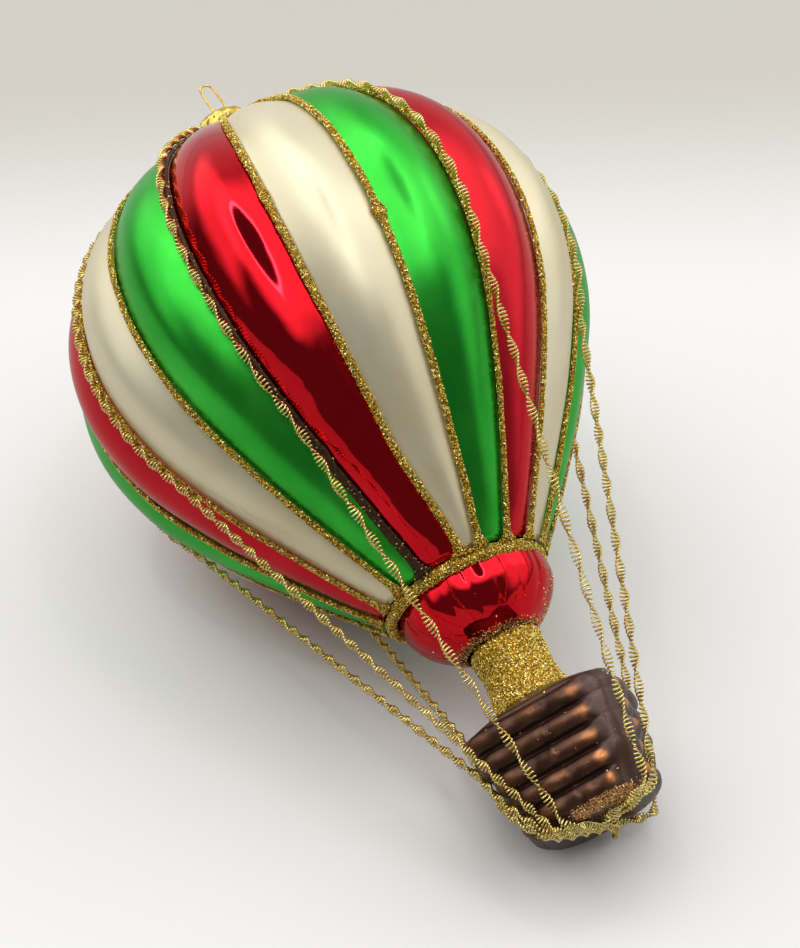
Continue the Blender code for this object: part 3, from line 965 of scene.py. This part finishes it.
def basket_point(front, right, height):
    """A point by its distances from the basket's middle towards its front and right faces."""
    beside = around(front, BASKET_TURN, height) + around(right, BASKET_TURN + 90, 0)
    return beside + basket_centre(height)


def held_off_basket(point):
    """The point itself, or straight out to where a wire would lie over the basket's ribs."""
    if point.z > BASKET_TOP:
        return point
    centre = basket_centre(point.z)
    azimuth = math.degrees(math.atan2(point.y - centre.y, point.x - centre.x))
    share = max(0, (BASKET_SHOULDER - point.z) / (BASKET_SHOULDER - BASKET_LOWEST_GROOVE))
    half = BASKET_TOP_HALF + (BASKET_BOTTOM_HALF - BASKET_TOP_HALF) * min(1, share)
    ribs = rounded_square(half, BASKET_CORNER, azimuth - BASKET_TURN) + RIB_HEIGHT
    reach = max((point - centre).xy.length, ribs + STRAND_RADIUS)
    return around(reach, azimuth, point.z) + Vector((centre.x, centre.y, 0))


def strand_half(seam_number, leave_height, front, right, slot):
    """One side of a crinkle wire: down its seam, then straight to the basket's bottom edge."""
    azimuth = FIRST_SEAM + seam_number * GORE_STEP
    edge = basket_point(front * STRAND_DRAWN_IN, right * STRAND_DRAWN_IN, BASKET_BOTTOM + 0.5)
    under = basket_point(
        slot + (front - slot) * STRAND_TUCK, right * STRAND_TUCK, BASKET_BOTTOM - STRAND_UNDER
    )
    line = smooth_line(ENVELOPE_LINE, STRAND_STEPS)
    points = []
    for point, normal in zip(line, line_normals(line)):
        lifted = point + normal * STRAND_LIFT
        if lifted.x > STRAND_TOP_RADIUS and lifted.y > leave_height:
            points.append(around(lifted.x, azimuth, lifted.y))
    leaving = points[-1]
    for step in range(1, FREE_STEPS):
        free = held_off_glass(leaving.lerp(edge, step / FREE_STEPS))
        points.append(held_off_basket(free))
    return points + [edge, under]


def evened(points, step):
    """A smooth curve through the points, with points about a step apart."""
    fine = smooth_line([tuple(point) for point in points], len(points) * 60)
    line = [fine[0]]
    for point in fine:
        while (point - line[-1]).length >= step:
            line.append(line[-1].lerp(point, step / (point - line[-1]).length))
    return line


def strand(number, right, left, coil):
    """A crinkle wire: a flat coil that twists as it runs down, under the basket and up again."""
    slot = STRAND_SHIFT + (2.5 - number) * STRAND_PITCH
    points = strand_half(*right[:4], slot)
    first = len(points)
    points.append(basket_point(slot, 0, BASKET_BOTTOM - STRAND_UNDER))
    points += strand_half(*left[:4], slot)[::-1]
    middle = points[first]
    step = 0.05
    line = evened(points, step)
    turning = min(range(len(line)), key=lambda index: (line[index] - middle).length)
    turns, twist, lean = [0.0], [0.0], [0.0]
    for index in range(1, len(line)):
        pitch, half_twist = right[4:] if index < turning else left[4:]
        uneven = 1 + 0.16 * wander((index * step, 9 * number, 0), 7)
        turns.append(turns[-1] + math.tau * step / (pitch * uneven))
        twist.append(twist[-1] + math.pi * step / (half_twist * uneven))
        lean.append(pitch * uneven / 4 * MM)
    edges = [(index, index + 1) for index in range(len(line) - 1)]
    item = mesh_piece(f"crinkle_wire_{number}", line, [], edges=edges)
    keep(item, "turns", turns)
    keep(item, "twist", twist)
    keep(item, "lean", lean)
    grown(item, coil, half_width=COIL_HALF_WIDTH * MM, half_depth=COIL_HALF_DEPTH * MM)
    item.data.shade_smooth()
    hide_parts(f"strand_{number}")
    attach(item, "ornament")


def dress():
    """Makes every finished piece over the frame."""
    cream = lacquered_glass("cream_pearl", (0.84, 0.74, 0.48), (0.93, 0.88, 0.65), 0.6, 0.37, 0.10)
    green = lacquered_glass("green_pearl", (0.022, 0.42, 0.032), (0.06, 0.68, 0.065), 0.92, 0.29, 0.08)
    red = lacquered_glass("red_satin", (0.58, 0.010, 0.020), (0.78, 0.02, 0.035), 0.85, 0.22, 0.18)
    mirror = lacquered_glass("red_mirror", (0.66, 0.008, 0.016), (0.88, 0.016, 0.028), 1.0, 0.07, 0.22)
    gold = glitter_grains(
        "gold_glitter", (0.22, 0.08, 0.001), (0.82, 0.44, 0.008), (1.0, 0.72, 0.025),
        (1.0, 0.96, 0.46),
    )
    brown_gold = glitter_grains(
        "brown_glitter", (0.13, 0.045, 0.012), (0.46, 0.19, 0.045), (0.85, 0.42, 0.11),
        (1.0, 0.74, 0.38),
    )
    glue = glue_bed("glitter_glue", (0.10, 0.04, 0.002), (0.38, 0.20, 0.008))
    recess = glue_bed("brown_recess", (0.02, 0.008, 0.005), (0.09, 0.04, 0.015))
    gilt = bright_metal("gilt_metal", (0.64, 0.37, 0.06), (0.96, 0.66, 0.17), 0.17, 260)
    wire = bright_metal("crinkle_metal", (0.84, 0.64, 0.18), (1.0, 0.86, 0.38), 0.22, 400)
    silver = bright_metal("silvered_glass", (0.62, 0.62, 0.60), (0.82, 0.82, 0.80), 0.10, 90)
    strew_gold = glitter_tree(gold)
    strew_brown = glitter_tree(brown_gold)
    lacquers = (cream, green, red)
    for number in range(1, GORES + 1):
        gore(number, mirror if number == MIRROR_GORE else lacquers[number % 3])
        # Painted shade: the bare seam beside the mirror lobe gets the near-black recess glue.
        seam(number, recess if number == SHADED_BARE_SEAM else glue, strew_gold)
    collar(glue, strew_gold)
    skirt(mirror, recess, strew_brown)
    neck(glue, strew_gold)
    basket(basket_lacquer(), strew_brown)
    cap(gilt)
    hanger(gilt)
    coil = coil_tree(wire)
    for number, (right, left) in enumerate(STRANDS, 1):
        strand(number, right, left, coil)
    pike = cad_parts["pike"]
    pike.data.materials.clear()
    pike.data.materials.append(silver)


def stage_mesh(name, points, faces, material):
    mesh = bpy.data.meshes.new(name)
    mesh.from_pydata(points, [], faces)
    mesh.materials.append(material)
    item = bpy.data.objects.new(name, mesh)
    bpy.context.scene.collection.objects.link(item)
    return item


def stepped(tree, value, low, high):
    """0 at low, 1 at high and a soft rise between them, as a node."""
    return add(tree, "ShaderNodeMapRange", {
        "Value": value, "From Min": low, "From Max": high,
    }, interpolation_type="SMOOTHSTEP").outputs["Result"]


def window_glow(tree, azimuth, elevation, window):
    """One soft-edged bright patch of the studio: its strength at a direction."""
    middle, low, high, half_width, soft, strength = window
    off = maths(tree, "SUBTRACT", azimuth, middle)
    wrapped = add(tree, "ShaderNodeMath", {0: off, 1: 180.0, 2: -180.0}, operation="WRAP")
    off = maths(tree, "ABSOLUTE", wrapped.outputs[0])
    across = stepped(tree, off, half_width + soft / 2, half_width - soft / 2)
    above = stepped(tree, elevation, low - soft / 3, low + soft / 3)
    under = stepped(tree, elevation, high + soft / 3, high - soft / 3)
    shape = maths(tree, "MULTIPLY", maths(tree, "MULTIPLY", across, above), under)
    return maths(tree, "MULTIPLY", shape, strength)


def studio():
    """Soft lights as one smooth surround, with a pale backdrop for the camera."""
    world = bpy.data.worlds.new("studio")
    bpy.context.scene.world = world
    world.use_nodes = True
    tree = world.node_tree
    tree.nodes.clear()
    place = add(tree, "ShaderNodeTexCoord").outputs["Generated"]
    axes = add(tree, "ShaderNodeSeparateXYZ", {"Vector": place}).outputs
    azimuth = maths(tree, "DEGREES", maths(tree, "ARCTAN2", axes["Y"], axes["X"]))
    elevation = maths(tree, "DEGREES", maths(tree, "ARCSINE", axes["Z"]))
    total = ROOM_GLOW
    for window in WINDOWS:
        total = maths(tree, "ADD", window_glow(tree, azimuth, elevation, window), total)
    along = maths(tree, "DIVIDE", axes["X"], DISC_REACH[0])
    beside = maths(tree, "DIVIDE", axes["Y"], DISC_REACH[1])
    squares = maths(tree, "ADD", maths(tree, "POWER", along, 2), maths(tree, "POWER", beside, 2))
    reach = maths(tree, "SQRT", squares)
    facing_up = stepped(tree, axes["Z"], 0.0, 0.1)
    outside = maths(tree, "MAXIMUM", stepped(tree, reach, 0.98, 1.02),
                    maths(tree, "SUBTRACT", 1.0, facing_up))
    lamp = maths(tree, "MULTIPLY", outside, stepped(tree, reach, 1.15, 1.10))
    lamp = maths(tree, "MULTIPLY", maths(tree, "MULTIPLY", lamp, facing_up), LAMP_GLOW)
    total = maths(tree, "MAXIMUM", maths(tree, "MULTIPLY", total, outside), DISC_GLOW)
    total = maths(tree, "ADD", total, lamp)
    lit = add(tree, "ShaderNodeBackground", {"Color": (1.0, 0.99, 0.97, 1), "Strength": total})
    pale = add(tree, "ShaderNodeBackground", {"Color": (0.80, 0.79, 0.76, 1), "Strength": 0.85})
    seen = add(tree, "ShaderNodeLightPath").outputs["Is Camera Ray"]
    both = add(tree, "ShaderNodeMixShader", {0: seen, 1: lit.outputs[0], 2: pale.outputs[0]})
    out = add(tree, "ShaderNodeOutputWorld", {"Surface": both.outputs[0]})
    out.is_active_output = True


def light_table():
    stage_mesh(
        "table", [(-3, -3, 0), (3, -3, 0), (3, 3, 0), (-3, 3, 0)], [(0, 1, 2, 3)], table_top()
    )
    studio()


def take_up_camera():
    camera = bpy.data.cameras.new("camera")
    camera.lens = CAMERA_LENS
    camera.sensor_width = 36
    camera.clip_start = 0.01
    camera.clip_end = 20
    item = bpy.data.objects.new("camera", camera)
    item.matrix_world = CAMERA_TO_TABLE.to_4x4()
    item.location = TO_TABLE @ Vector(CAMERA_PLACE)
    bpy.context.scene.collection.objects.link(item)
    bpy.context.scene.camera = item


def camera_turn():
    """The camera's axes on the table, from its looking and upward directions."""
    lay = TO_TABLE.to_3x3().normalized()
    back = (lay @ -Vector(CAMERA_LOOK)).normalized()
    up = (lay @ Vector(CAMERA_UP)).normalized()
    return Matrix((up.cross(back), up, back)).transposed()


CAMERA_TO_TABLE = camera_turn()
dress()
light_table()
take_up_camera()
bpy.context.scene.view_settings.view_transform = "Standard"
